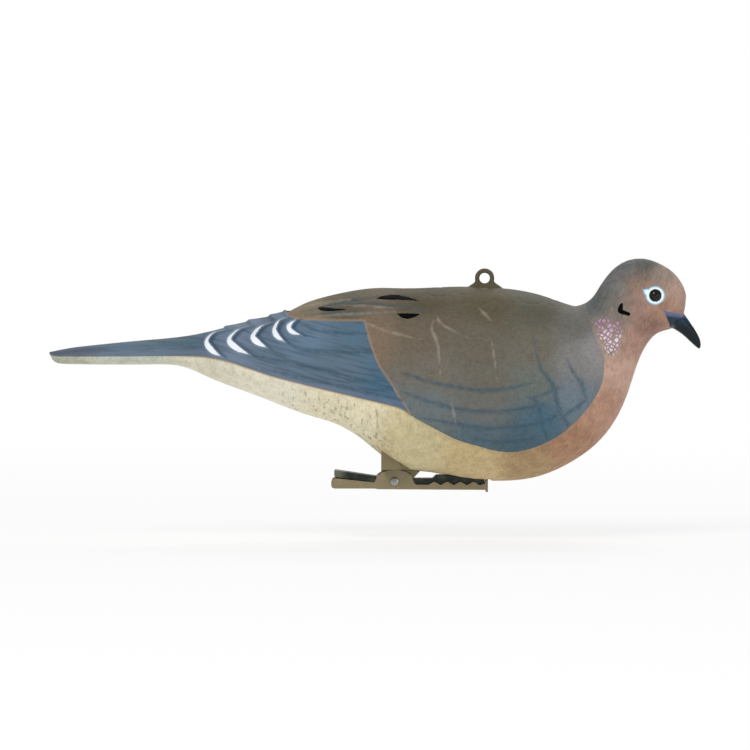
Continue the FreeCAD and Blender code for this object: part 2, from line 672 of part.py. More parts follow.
# ---------------------------------------------------------------- torsion spring
# A coil round the pin with a leg along the inside of each handle.
wire = size("wire_radius")
coil = size("coil_radius")
turns = size("coil_turns")
pitch = size("coil_pitch")
length = pitch * turns
helix = Part.makeHelix(pitch, length, coil)
profile = Part.Wire([Part.Circle(Vector(coil, 0, 0), Vector(0, 1, 0), wire).toShape()])
swept = Part.BRepOffsetAPI.MakePipeShell(Part.Wire(helix.Edges))
swept.setFrenetMode(True)
swept.add(profile)
swept.build()
swept.makeSolid()
spring = swept.shape()
# Local +X becomes -X (both ends lie behind the pin) and the axis lies along Y.
spring.Placement = Placement(Vector(pivot_x, length / 2.0, pivot_z),
                             Rotation(Vector(-1, 0, 0), Vector(0, 0, 1), Vector(0, -1, 0), "XZY"))


def wire_run(a, b):
    return rod(wire, (b - a).Length, a, b - a).fuse(Part.makeSphere(wire, b))


handle_x = size("handle_end_x") + 4.7
for y, z in ((length / 2.0, pivot_z + 3.35), (-length / 2.0, pivot_z - 1.75)):
    start = Vector(pivot_x - coil, y, pivot_z)
    spring = spring.fuse(Part.makeSphere(wire, start)).fuse(wire_run(start, Vector(handle_x, y, z)))
torsion_spring = add_shape("torsion_spring", spring)

doc.recompute()

# ---------------------------------------------------------------- check and write
NODES = [
    "right_shell", "left_shell", "right_eye", "left_eye", "clip_saddle",
    "right_screw", "left_screw", "clip_rivet", "upper_jaw", "lower_jaw",
    "pivot_pin", "torsion_spring",
]
for thing in doc.Objects:
    for flag in ("Invalid", "Error"):
        if flag in thing.State:
            raise RuntimeError("%s is %s" % (thing.Name, flag))
os.makedirs("parts", exist_ok=True)
for name in NODES:
    shape = doc.getObject(name).Shape
    if shape.isNull() or not shape.isValid():
        raise RuntimeError("%s has no valid shape" % name)
    if len(shape.Solids) != 1:
        raise RuntimeError("%s has %d solids" % (name, len(shape.Solids)))
    shape.exportStep("parts/%s.step" % name)
    b = shape.BoundBox
    print("%-15s %9.1f mm3  x %.1f..%.1f  y %.1f..%.1f  z %.1f..%.1f" % (
        name, shape.Volume, b.XMin, b.XMax, b.YMin, b.YMax, b.ZMin, b.ZMax))
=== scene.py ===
import bpy
import bmesh
import math
import numpy as np
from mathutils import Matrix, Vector


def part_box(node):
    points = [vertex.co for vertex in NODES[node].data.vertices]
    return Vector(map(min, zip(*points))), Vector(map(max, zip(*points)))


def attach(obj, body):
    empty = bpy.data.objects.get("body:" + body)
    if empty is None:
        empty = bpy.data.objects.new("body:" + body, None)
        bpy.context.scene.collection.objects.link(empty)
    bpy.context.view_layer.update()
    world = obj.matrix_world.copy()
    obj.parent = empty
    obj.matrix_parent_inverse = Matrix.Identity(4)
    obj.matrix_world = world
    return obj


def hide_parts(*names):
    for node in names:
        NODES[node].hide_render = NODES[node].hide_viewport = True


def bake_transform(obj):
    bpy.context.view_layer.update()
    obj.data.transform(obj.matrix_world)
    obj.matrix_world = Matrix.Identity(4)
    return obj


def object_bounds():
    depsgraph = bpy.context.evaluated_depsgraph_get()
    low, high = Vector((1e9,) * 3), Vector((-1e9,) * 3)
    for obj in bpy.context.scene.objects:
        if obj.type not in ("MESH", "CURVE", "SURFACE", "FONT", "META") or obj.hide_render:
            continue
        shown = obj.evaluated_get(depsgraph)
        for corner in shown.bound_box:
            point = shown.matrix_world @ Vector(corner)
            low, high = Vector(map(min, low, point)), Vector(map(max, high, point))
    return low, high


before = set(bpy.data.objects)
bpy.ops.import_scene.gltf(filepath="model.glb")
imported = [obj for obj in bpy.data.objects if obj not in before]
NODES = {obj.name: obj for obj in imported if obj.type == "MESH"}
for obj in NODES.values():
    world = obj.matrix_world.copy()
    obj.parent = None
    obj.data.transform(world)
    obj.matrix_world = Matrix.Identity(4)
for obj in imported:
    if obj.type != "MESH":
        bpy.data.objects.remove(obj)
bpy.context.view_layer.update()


# ------------------------------------------------------------------ colours and shader nodes
def linear(code):
    """An sRGB hex colour as linear RGBA."""
    parts = [int(code[i:i + 2], 16) / 255.0 for i in (1, 3, 5)]
    return [p / 12.92 if p <= 0.04045 else ((p + 0.055) / 1.055) ** 2.4 for p in parts] + [1.0]


def add(tree, kind, settings, inputs):
    """Adds a shader node. An input takes a value, a socket, or a node, which gives its first live output."""
    node = tree.nodes.new("ShaderNode" + kind)
    for key, value in settings.items():
        setattr(node, key, value)
    for key, value in inputs.items():
        if isinstance(value, bpy.types.Node):
            value = next(output for output in value.outputs if output.enabled)
        if isinstance(value, bpy.types.NodeSocket):
            tree.links.new(value, node.inputs[key])
        else:
            node.inputs[key].default_value = value
    return node


MULTIPLY = {"operation": "MULTIPLY"}
ADD = {"operation": "ADD"}
MULTIPLY_ADD = {"operation": "MULTIPLY_ADD"}
SMOOTH = {"interpolation_type": "SMOOTHSTEP"}
FLOATS = {"data_type": "FLOAT"}
COLOURS = {"data_type": "RGBA"}
IN_MM = {"vector_type": "TEXTURE"}      # a Mapping whose scale is the size of one grain


def material(name):
    """An empty node material with a Principled surface, and where it reads the object's own coordinates."""
    mat = bpy.data.materials.new(name)
    mat.use_nodes = True
    tree = mat.node_tree
    tree.nodes.clear()
    surface = add(tree, "BsdfPrincipled", {}, {})
    add(tree, "OutputMaterial", {}, {"Surface": surface})
    place = add(tree, "TexCoord", {}, {}).outputs["Object"]
    return mat, tree, surface, place


# ------------------------------------------------------------------ curves on the bird's side, in mm
def flow(points, count=40):
    """A smooth line through a few points (x, z or x, z, width)."""
    p = np.array(points, float)
    p = np.vstack([2 * p[0] - p[1], p, 2 * p[-1] - p[-2]])
    spans = len(p) - 3
    out = []
    for k in range(count):
        t = k * spans / (count - 1)
        i = min(int(t), spans - 1)
        t -= i
        a, b, c, d = p[i:i + 4]
        out.append(0.5 * (2 * b + (c - a) * t + (2 * a - 5 * b + 4 * c - d) * t ** 2
                          + (3 * b - a - 3 * c + d) * t ** 3))
    return np.array(out)


def nearest(q, line):
    """Distance in mm from each point to a line of points."""
    best = np.full(len(q), 1e9)
    for a, b in zip(line[:-1], line[1:]):
        d = b - a
        t = np.clip(((q - a) @ d) / max(d @ d, 1e-9), 0, 1)
        best = np.minimum(best, np.hypot(*(q - a - t[:, None] * d).T))
    return best


def inside(q, loop):
    """Signed distance in mm to a closed outline, positive inside."""
    loop = np.vstack([loop, loop[:1]])
    hit = np.zeros(len(q), bool)
    for a, b in zip(loop[:-1], loop[1:]):
        cross = (a[1] > q[:, 1]) != (b[1] > q[:, 1])
        dz = b[1] - a[1]
        where = a[0] + (q[:, 1] - a[1]) * (b[0] - a[0]) / (dz if abs(dz) > 1e-9 else 1e-9)
        hit ^= cross & (q[:, 0] < where)
    return np.where(hit, 1.0, -1.0) * nearest(q, loop)


def stroke(q, points, count=24):
    """Signed distance to a brush stroke of changing half width, positive inside."""
    line = flow(points, count)
    best = np.full(len(q), -FAR)
    near = np.all((q > line[:, :2].min(0) - 4) & (q < line[:, :2].max(0) + 4), axis=1)
    at = q[near]
    part = np.full(len(at), -FAR)
    for a, b in zip(line[:-1], line[1:]):
        d = (b - a)[:2]
        t = np.clip(((at - a[:2]) @ d) / max(d @ d, 1e-9), 0, 1)
        part = np.maximum(part, a[2] + t * (b[2] - a[2]) - np.hypot(*(at - a[:2] - t[:, None] * d).T))
    best[near] = part
    return best


EYE_LOW, EYE_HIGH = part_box("right_eye")
EYE = np.array([(EYE_LOW.x + EYE_HIGH.x) * 500, (EYE_LOW.z + EYE_HIGH.z) * 500])
TAIL_TOP = 60.8         # height of the tail's thin end
VOXEL = 0.0008          # size of the skin's first, even faces, in m
FAR = 9.0               # a paint field this many mm outside its shape


def ease(v):
    """A smooth step from 0 to 1."""
    v = np.clip(v, 0, 1)
    return v * v * (3 - 2 * v)


def soft_colours(q, anchors):
    """Airbrushed colour: each anchor (x, z, colour) tints what is near it."""
    total = np.zeros((len(q), 3))
    weight = np.zeros(len(q))
    for x, z, code in anchors:
        w = 1.0 / ((q[:, 0] - x) ** 2 + (q[:, 1] - z) ** 2 + 30.0) ** 2
        total += w[:, None] * np.array(linear(code)[:3])
        weight += w
    return total / weight[:, None]


# The folded wing: its rear and lower edge, then past the back and the shoulder.
WING = np.vstack([
    flow([(-77.2, 77.8), (-71.5, 76.1), (-58, 75.6), (-41.3, 75.5)], 14),
    flow([(-41.3, 75.5), (-39.3, 67.4), (-35.3, 56.7), (-30.0, 48.7), (-26.0, 42.0), (-21.9, 36.0)], 20),
    flow([(-21.9, 36.0), (-19.2, 32.6), (-9.8, 27.3), (0.8, 21.9), (11.5, 18.5), (19.5, 16.2),
          (27.8, 15.9), (38.2, 18.5), (47.7, 23.2), (54.5, 28.6), (61.1, 35.3), (66.5, 43.4),
          (69.0, 51.4), (68.6, 60.4), (64.5, 70.0), (60.5, 84.0)], 60),
    [(60.0, 120.0), (-77.2, 120.0)],
])
# Flight feathers, rump and the top of the tail, above their lower edge.
REAR = np.vstack([
    flow([(-200.0, 58.9), (-160.0, 59.1), (-124.5, 59.5), (-113.7, 59.1), (-103.0, 57.0), (-94.0, 54.1),
          (-85.1, 51.2), (-76.1, 48.8), (-59.4, 44.7), (-42.0, 40.6), (-26.0, 36.7), (-20.0, 33.2)], 60),
    [(-10.0, 60.0), (-10.0, 120.0), (-200.0, 120.0)],
])
# White tips of the rump feathers, from the top down past the apex: x, z, half width.
CHEVRONS = [
    [(-103.6, 70.8, -0.3), (-110.9, 69.2, 0.45), (-114.0, 65.5, 1.0), (-111.2, 61.9, 1.15),
     (-106.2, 59.2, -0.2)],
    [(-93.6, 72.2, -0.3), (-99.8, 70.1, 0.45), (-103.3, 66.2, 1.05), (-99.6, 63.0, 1.15),
     (-92.8, 60.0, -0.2)],
    [(-82.8, 74.2, -0.3), (-88.7, 71.8, 0.5), (-92.3, 67.9, 1.05), (-90.0, 65.4, 1.1), (-85.0, 63.1, -0.2)],
    [(-76.8, 76.8, -0.3), (-80.4, 74.0, 0.5), (-82.3, 70.6, 0.95), (-81.0, 68.2, 1.0), (-77.0, 65.6, -0.2)],
    [(-71.8, 76.8, -0.3), (-74.8, 74.4, 0.55), (-75.8, 72.3, 0.95), (-74.2, 70.6, 0.95),
     (-69.6, 69.2, -0.2)],
]
# Where the edge of each of those feathers crosses the ridge of the rump.
RIDGE = [(-112.5, 73.0), (-97.5, 76.0), (-88.0, 78.5), (-80.5, 80.5), (-76.0, 82.0)]
# Black spots on the folded wing, as outlines, and the mark under the ear.
SPOTS = [
    [(-36.4, 85.7), (-33.3, 86.9), (-28.5, 87.6), (-23.7, 87.3), (-19.9, 86.3),
     (-16.2, 85.1), (-21.8, 85.2),
     (-28.5, 85.4)],
    [(-26.4, 79.2), (-23.7, 79.4), (-19.5, 79.3), (-15.8, 79.1), (-18.2, 77.7),
     (-21.3, 76.9), (-24.2, 77.5)],
    [(-62.8, 81.2), (-60.5, 81.9), (-56.2, 81.3), (-49.4, 80.7), (-56.2, 79.9), (-61.0, 80.1)],
]
EAR = [(77.7, 83.4, 0.6), (77.2, 82.0, 1.0), (76.9, 80.3, 1.1), (78.8, 79.5, 0.95), (80.9, 78.8, 0.8)]
# Grooves between feathers, darkened with blue paint and with painted shade.
DARK_LINES = [
    [(-25.0, 52.8, 0.0), (-8.4, 47.7, 0.5), (9.8, 44.6, 0.6), (23.2, 45.1, 0.55), (36.0, 47.9, 0.0)],
    [(-24.0, 43.8, 0.0), (-10.3, 38.9, 0.5), (5.9, 35.1, 0.65), (25.1, 35.0, 0.65), (41.0, 37.9, 0.1)],
    [(-15.5, 31.9, 0.0), (-0.8, 29.3, 0.45), (15.5, 26.9, 0.55), (36.5, 28.6, 0.4), (47.0, 32.8, 0.0)],
    [(36.5, 69.0, -0.3), (39.4, 55.2, 0.4), (45.2, 46.6, 0.65), (48.0, 36.0, 0.65), (52.0, 28.6, 0.4)],
    [(51.8, 58.5, -0.2), (54.6, 53.0, 0.4), (58.4, 47.4, 0.6), (60.6, 41.0, 0.4)],
    [(34.3, 41.4, 0.0), (38.4, 38.0, 0.55), (40.3, 29.0, 0.6), (42.4, 23.0, 0.4)],
    [(36.0, 41.0, 0.0), (42.0, 43.0, 0.45), (49.0, 45.8, 0.3)],
    [(48.6, 31.5, 0.1), (55.0, 35.4, 0.5), (60.4, 39.6, 0.2)],
    [(8.0, 22.5, 0.0), (22.0, 20.6, 0.5), (36.0, 22.0, 0.2)],
    [(-70.0, 79.2, -0.2), (-52.0, 83.6, 0.35), (-36.0, 86.4, -0.2)],
    [(-68.0, 77.9, -0.2), (-50.0, 79.1, 0.35), (-28.0, 79.6, -0.2)],
    [(-50.0, 83.2, -0.2), (-36.0, 83.2, 0.35), (-14.0, 81.4, -0.2)],
    [(-77.8, 66.2, 0.0), (-70.6, 63.4, 0.45), (-55.0, 62.0, 0.5), (-38.0, 61.6, 0.1)],
    [(-95.0, 60.2, -0.1), (-76.0, 57.2, 0.4), (-54.0, 52.0, 0.5), (-29.0, 45.6, 0.2)],
    [(-88.0, 54.0, -0.1), (-70.0, 50.4, 0.4), (-50.0, 45.9, 0.5), (-24.0, 40.0, 0.1)],
    [(-66.0, 72.0, -0.1), (-54.0, 70.6, 0.35), (-40.5, 70.2, 0.0)],
]
# Raised feather edges that catch the light, with a painted highlight along them.
LIGHT_LINES = [
    [(-8.4, 78.8, 0.1), (-6.4, 75.6, 0.5), (-2.6, 72.8, 0.4), (6.0, 68.4, -0.3)],
    [(-9.6, 76.4, -0.1), (-10.2, 72.0, 0.5), (-8.0, 67.0, 0.55), (-7.2, 61.6, 0.45), (-6.2, 50.0, -0.2)],
    [(11.2, 82.0, 0.0), (13.8, 79.6, 0.5), (16.9, 76.3, 0.2)],
    [(16.7, 69.0, -0.3), (18.4, 60.0, 0.3), (19.4, 48.6, -0.3)],
    [(-39.6, 74.5, 0.2), (-31.4, 71.4, 0.45), (-20.5, 68.9, 0.2), (-13.0, 67.6, -0.3)],
    [(-64.0, 77.4, 0.0), (-52.0, 78.4, 0.5), (-40.0, 79.1, 0.5), (-27.0, 80.1, 0.1)],
    [(-71.0, 81.2, 0.0), (-60.0, 83.5, 0.5), (-48.0, 85.2, 0.2)],
    [(-1.6, 41.0, -0.1), (-0.4, 35.0, 0.4), (0.8, 28.6, -0.1)],
    [(-52.0, 82.4, -0.2), (-40.0, 82.2, 0.45), (-24.0, 81.6, -0.2)],
]
# Airbrushed base colours on the body, the wing and the flight feathers, with some painted light and shade in
# them: x, z, colour.
UNDER_TINTS = [
    (-186, 57, "#a9ab9b"), (-150, 56, "#babeb0"), (-115, 54, "#d1ceba"),
    (-85, 45, "#e0dbc6"), (-50, 30, "#e1d8b9"),
    # Darker low on the breast, near x 35 to 55: buff paint with painted shade where the belly turns under.
    (-20, 18, "#c1b58e"), (10, 8, "#baa57b"), (35, 7, "#9d8360"), (55, 18, "#9d785f"), (70, 36, "#ad8673"),
    (78, 52, "#c19e8f"), (84, 66, "#ac877a"), (90, 74, "#82645a"),
    (97, 82, "#9a7865"), (103, 90, "#b4968a"),
    (97, 98, "#97877d"), (88, 84, "#9e7f74"), (84, 92, "#897161"), (76, 80, "#776f69"), (72, 68, "#9a8a7e"),
    (75, 92, "#686d6e"), (66, 84, "#565f60"), (80, 100, "#606467"), (90, 103, "#4a5051"),
]
WING_TINTS = [
    (-70, 78, "#83765d"), (-50, 82, "#5d5643"), (-38, 70, "#7c6b59"),
    (-15, 88, "#544e3b"), (-15, 70, "#6a6052"),
    (-10, 52, "#6e695e"), (-12, 38, "#667174"), (15, 86, "#5b5440"),
    (12, 66, "#666054"), (15, 48, "#67645a"),
    (14, 34, "#696b68"), (12, 24, "#4d636f"), (40, 82, "#59584a"), (38, 64, "#6b675a"), (38, 46, "#666d68"),
    # Pale grey on the wing's shoulder, near x 56 to 64 and z 58 to 62: wing paint with a painted highlight.
    (40, 32, "#446375"), (30, 20, "#445c6a"), (56, 74, "#6b6b65"), (56, 58, "#7e7e7e"), (55, 40, "#697986"),
    (64, 62, "#908d8f"),
]
REAR_TINTS = [
    (-185, 61, "#46545e"), (-150, 63, "#586e7c"), (-120, 63, "#4f6674"), (-100, 68, "#6c7b8f"),
    (-85, 60, "#5d7080"), (-70, 70, "#62798d"), (-55, 55, "#5b6e7e"),
    (-45, 70, "#516b7c"), (-30, 45, "#47667b"),
]
BILL = flow([(97.0, 80.6), (100.0, 79.7), (106.2, 78.6), (109.4, 79.2), (118.0, 68.0), (117.0, 58.0),
             (112.0, 60.5), (107.6, 67.0), (103.0, 70.6), (100.4, 72.6), (99.6, 75.0), (97.0, 80.6)], 90)
# The line where the bill opens, and the pearly patch on the neck.
GAPE = [(98.4, 78.0, 0.1), (102.4, 75.9, 0.3), (107.0, 72.0, 0.3), (111.6, 67.0, 0.25), (114.0, 63.6, 0.1)]
PATCH = flow([(64.2, 74.8), (69.4, 77.4), (78.0, 75.0), (76.6, 67.0), (73.6, 59.8), (69.4, 63.6),
              (64.2, 74.8)], 50)
PAINTS = [("under_paint", UNDER_TINTS), ("wing_paint", WING_TINTS), ("rear_paint", REAR_TINTS)]
# The paint fields, three to each attribute on the mesh.
FIELDS = [
    ("zones", ("wing", "rear", "bill")),
    ("marks", ("white", "shade", "black")),
    ("lines", ("dark", "light", "ring")),
    ("extras", ("patch", "base", "eye")),
]


def paint_fields(q, y):
    """Signed distances in mm, positive inside, to every painted shape."""
    f = {"wing": inside(q, WING), "rear": inside(q, REAR)}
    f["bill"] = np.where(q[:, 0] > 95, inside(q, BILL), -FAR)
    f["patch"] = inside(q, PATCH)
    sides = np.clip((np.abs(y) - 3.0) * 1.5, -FAR, FAR)
    f["white"] = np.minimum(np.maximum.reduce([stroke(q, s) for s in CHEVRONS]), sides)
    # shade is a painted shadow: the white tips' strokes moved 1.9 mm towards the head.
    f["shade"] = np.minimum(np.maximum.reduce(
        [stroke(q, [(a + 1.9, b - 0.2, w) for a, b, w in s]) for s in CHEVRONS]), sides)
    f["black"] = np.maximum.reduce([inside(q, flow(s + s[:1])) for s in SPOTS] + [stroke(q, EAR)])
    for name, shapes in (("dark", DARK_LINES), ("light", LIGHT_LINES)):
        f[name] = np.maximum.reduce([stroke(q, s) for s in shapes])
    from_eye = q - EYE
    f["eye"] = np.where(q[:, 0] > 80, np.hypot(*from_eye.T), 99.0)
    corner = stroke(q, [(EYE[0] - 3.6, EYE[1] + 1.4, 1.7), (EYE[0] - 5.7, EYE[1] + 2.7, 0.15)], 16)
    round_ring = 4.5 - np.hypot(from_eye[:, 0], from_eye[:, 1] * 1.05)
    f["ring"] = np.where(q[:, 0] > 80, np.maximum(round_ring, corner), -FAR)
    f["base"] = (q[:, 1] - 77.9 + 0.10 * (q[:, 0] - 97.0)) * 0.8
    return f


# ------------------------------------------------------------------ the bird's skin
def evaluated(obj):
    """The object's mesh with its modifiers applied, and the object removed."""
    depsgraph = bpy.context.evaluated_depsgraph_get()
    mesh = bpy.data.meshes.new_from_object(obj.evaluated_get(depsgraph))
    bpy.data.objects.remove(obj)
    return mesh


def joined(names, label):
    """A copy of some CAD nodes as one object, with its doubles merged."""
    bm = bmesh.new()
    for name in names:
        bm.from_mesh(NODES[name].data)
    bmesh.ops.remove_doubles(bm, verts=bm.verts, dist=1e-6)
    mesh = bpy.data.meshes.new(label)
    bm.to_mesh(mesh)
    bm.free()
    obj = bpy.data.objects.new(label, mesh)
    bpy.context.scene.collection.objects.link(obj)
    return obj


def bird_skin():
    """The outside of both shells as one even, closed surface."""
    guide = joined(["right_shell", "left_shell", "right_eye", "left_eye"], "guide")
    skin = bpy.data.objects.new("skin", guide.data.copy())
    bpy.context.scene.collection.objects.link(skin)
    remesh = skin.modifiers.new("even", "REMESH")
    remesh.mode = "VOXEL"
    remesh.voxel_size = VOXEL
    wrap = skin.modifiers.new("wrap", "SHRINKWRAP")
    wrap.target = guide
    wrap.wrap_method = "NEAREST_SURFACEPOINT"
    calm = skin.modifiers.new("calm", "SMOOTH")
    calm.factor = 0.5
    calm.iterations = 3
    mesh = evaluated(skin)
    bpy.data.objects.remove(guide)
    bm = bmesh.new()
    bm.from_mesh(mesh)
    bm.verts.ensure_lookup_table()
    # The hollow's surface is a separate island: keep only the one that reaches the bill.
    start = max(bm.verts, key=lambda v: v.co.x)
    keep = {start}
    edge = [start]
    while edge:
        found = []
        for vert in edge:
            for link in vert.link_edges:
                other = link.other_vert(vert)
                if other not in keep:
                    keep.add(other)
                    found.append(other)
        edge = found
    bmesh.ops.delete(bm, geom=[v for v in bm.verts if v not in keep], context="VERTS")
    return bm


def side_view(verts):
    """Where vertices are in mm, as (x, z) and as y."""
    p = np.array([v.co[:] for v in verts]) * 1000.0
    return p[:, [0, 2]], p[:, 1]


def feathered(bm, side, label):
    """One half of the skin, with the moulded feather relief and its paint fields."""
    half = bm.copy()
    bmesh.ops.bisect_plane(half, geom=half.verts[:] + half.edges[:] + half.faces[:], dist=1e-7,
                           plane_co=(0, side * 1e-5, 0), plane_no=(0, -side, 0), clear_outer=True)
    # A finer mesh along every paint edge, and finer again round the eye.
    for only_eye in (False, True):
        f = paint_fields(*side_view(half.verts))
        near = f["eye"] < 5.8
        if not only_eye:
            for name in ("wing", "rear", "bill", "white", "black", "dark", "light"):
                near |= np.abs(f[name]) < 1.0
        wanted = {v for v, hit in zip(half.verts, near) if hit}
        edges = [e for e in half.edges if e.verts[0] in wanted and e.verts[1] in wanted]
        bmesh.ops.subdivide_edges(half, edges=edges, cuts=1, use_grid_fill=True)
    rim = [e for e in half.edges if e.is_boundary]
    bmesh.ops.triangle_fill(half, use_beauty=False, use_dissolve=False, edges=rim, normal=(0, -side, 0))
    bmesh.ops.recalc_face_normals(half, faces=half.faces)
    bmesh.ops.triangulate(half, faces=[face for face in half.faces if len(face.verts) > 4])
    mesh = bpy.data.meshes.new(label)
    half.to_mesh(mesh)
    half.free()
    count = len(mesh.vertices)
    co = np.zeros(count * 3)
    normal = np.zeros(count * 3)
    mesh.vertices.foreach_get("co", co)
    mesh.vertices.foreach_get("normal", normal)
    p = co.reshape(-1, 3) * 1000.0
    normal = normal.reshape(-1, 3)
    x, y, z = p.T
    q = p[:, [0, 2]].copy()
    seam = np.abs(y) < 0.05
    f = paint_fields(q, y)
    wing, rear = f["wing"], f["rear"]

    # Relief in mm, outwards. It dies away round the clip, so that the belly still fits its saddle.
    clip = ease((np.hypot(np.clip(np.abs(x + 8) - 30, 0, None), np.clip(z - 14, 0, None)) - 1) / 6.0)
    tab = ease((np.hypot(x - 14.5, (z - 95.2) * 1.6) - 10.0) / 4.0)
    inner = np.exp(-np.clip(wing, 0, None) / 14.0)
    lift = 0.95 * ease((wing + 0.7) / 1.4) * (1 - ease((x - 44) / 22)) * inner * ease((x + 79) / 13)
    lift += 0.55 * ease((rear + 0.7) / 1.3) * ease((-x - 18) / 8) * ease((x + 188) / 14) * (wing < 0)
    steps = np.zeros(count)
    for shape, ridge in zip(CHEVRONS, RIDGE):
        line = flow([ridge + (0.0,)] + shape)[:, :2][::-1]
        past = x - np.interp(z, line[:, 1], line[:, 0])
        low = ease((z - line[:, 1].min() + 1.0) / 3.0)
        steps += 0.85 * ease((past + 1.0) / 1.7) * np.exp(-np.clip(past, 0, None) / 13.0) * low \
            * (1 - ease((x + 80) / 6))
    lift += np.where(wing < 0, steps, 0.0)
    lift -= 0.30 * ease((f["dark"] + 0.6) / 1.1)
    lift += 0.14 * ease((f["light"] + 0.7) / 1.2)
    # Overlapping covert feathers, in rows that follow the wing round the back.
    row = (np.abs(y) * 0.6 - z * 0.8 + 0.12 * x) / 8.5 + 40
    along = x / 12.0 + 0.5 * np.floor(row)
    u = along - np.floor(along) - 0.5
    edge = (np.abs(u) * 2) ** 2.2 * 0.5 + (row - np.floor(row))
    lift -= 0.20 * np.exp(-((edge - 1.0) / 0.13) ** 2) * ease((wing - 4) / 8) * ease((60 - x) / 15)
    # Soft feather tufts on the breast and neck.
    breast = np.where(wing < 0, ease((x + 40) / 50) * ease((-1 - wing) / 3) * ease((96 - x) / 6), 0)
    lift += 0.03 * breast * np.sin(x * 1.1 + np.sin(z * 0.5) * 2) * np.sin(z * 0.9 + np.sin(x * 0.4) * 2)
    # Head: eyelid, gape line along the bill and a soft cere over its base.
    lift += 0.30 * ease(f["ring"] / 0.8) * ease((f["eye"] - 2.6) / 0.5) * (f["eye"] < 9)
    lift -= 0.35 * ease((stroke(q, GAPE) + 0.5) / 0.8)
    lift += 0.18 * ease((f["bill"] + 0.4) / 1.6) * ease((112 - x) / 9)
    lift *= clip * tab
    # A fine parting line where the halves meet.
    lift -= 0.12 * np.exp(-(np.abs(y) / 0.5) ** 2)
    moved = p + normal * lift[:, None]
    # The tail ends in a thin rounded edge.
    end = np.clip((-182.5 - moved[:, 0]) / 5.5, 0, 1) ** 2
    moved[:, 2] += end * 0.62 * (TAIL_TOP - moved[:, 2])
    moved[:, 1] *= 1 - 0.25 * end
    # The skin drops behind the bead.
    moved[:, 1] -= side * 3.4 * ease((2.85 - f["eye"]) / 0.3)
    moved[:, 1] = np.where(seam, y, side * np.maximum(moved[:, 1] * side, 0.02))
    mesh.vertices.foreach_set("co", (moved / 1000.0).ravel())

    for name, parts in FIELDS:
        layer = mesh.attributes.new(name, "FLOAT_VECTOR", "POINT")
        layer.data.foreach_set("vector", np.stack([f[n] for n in parts], 1).astype(np.float32).ravel())
    for name, tints in PAINTS:
        layer = mesh.attributes.new(name, "FLOAT_COLOR", "POINT")
        rgba = np.ones((count, 4), np.float32)
        rgba[:, :3] = soft_colours(q, tints)
        layer.data.foreach_set("color", rgba.ravel())
    mesh.shade_smooth()
    mesh.update()
    obj = bpy.data.objects.new(label, mesh)
    bpy.context.scene.collection.objects.link(obj)
    return obj


# ------------------------------------------------------------------ materials
GRAINS = {
    # How long a grain is in mm along x, y and z, its detail, its turn about Y and its roughness.
    "ragged": (0.9, 0.9, 0.9, 2.0, 0.0, 0.5),       # a hand-cut mask's edge
    "blotch": (4.2, 4.2, 4.2, 4.0, 0.0, 0.62),      # mottling
    "weave": (0.8, 1.6, 2.4, 3.0, 0.3, 0.5),        # dry brush
    "worn": (3.0, 2.0, 3.0, 3.0, 0.0, 0.5),         # where a brushed line is rubbed
    "flick": (1.5, 4.0, 8.0, 1.0, 0.12, 0.5),       # upright ticks on the vent
    "covert": (2.2, 1.4, 0.75, 4.0, 0.35, 0.5),     # slanting barbs of the wing coverts
    "down": (0.8, 1.4, 3.6, 3.0, 0.25, 0.5),        # soft upright barbs
    "drift": (3.2, 3.2, 3.2, 3.0, 0.0, 0.6),        # a brushed line's wander
    "grain": (0.7, 0.7, 0.7, 3.0, 0.0, 0.5),        # grain of the mould, drawn coarse enough to show
}


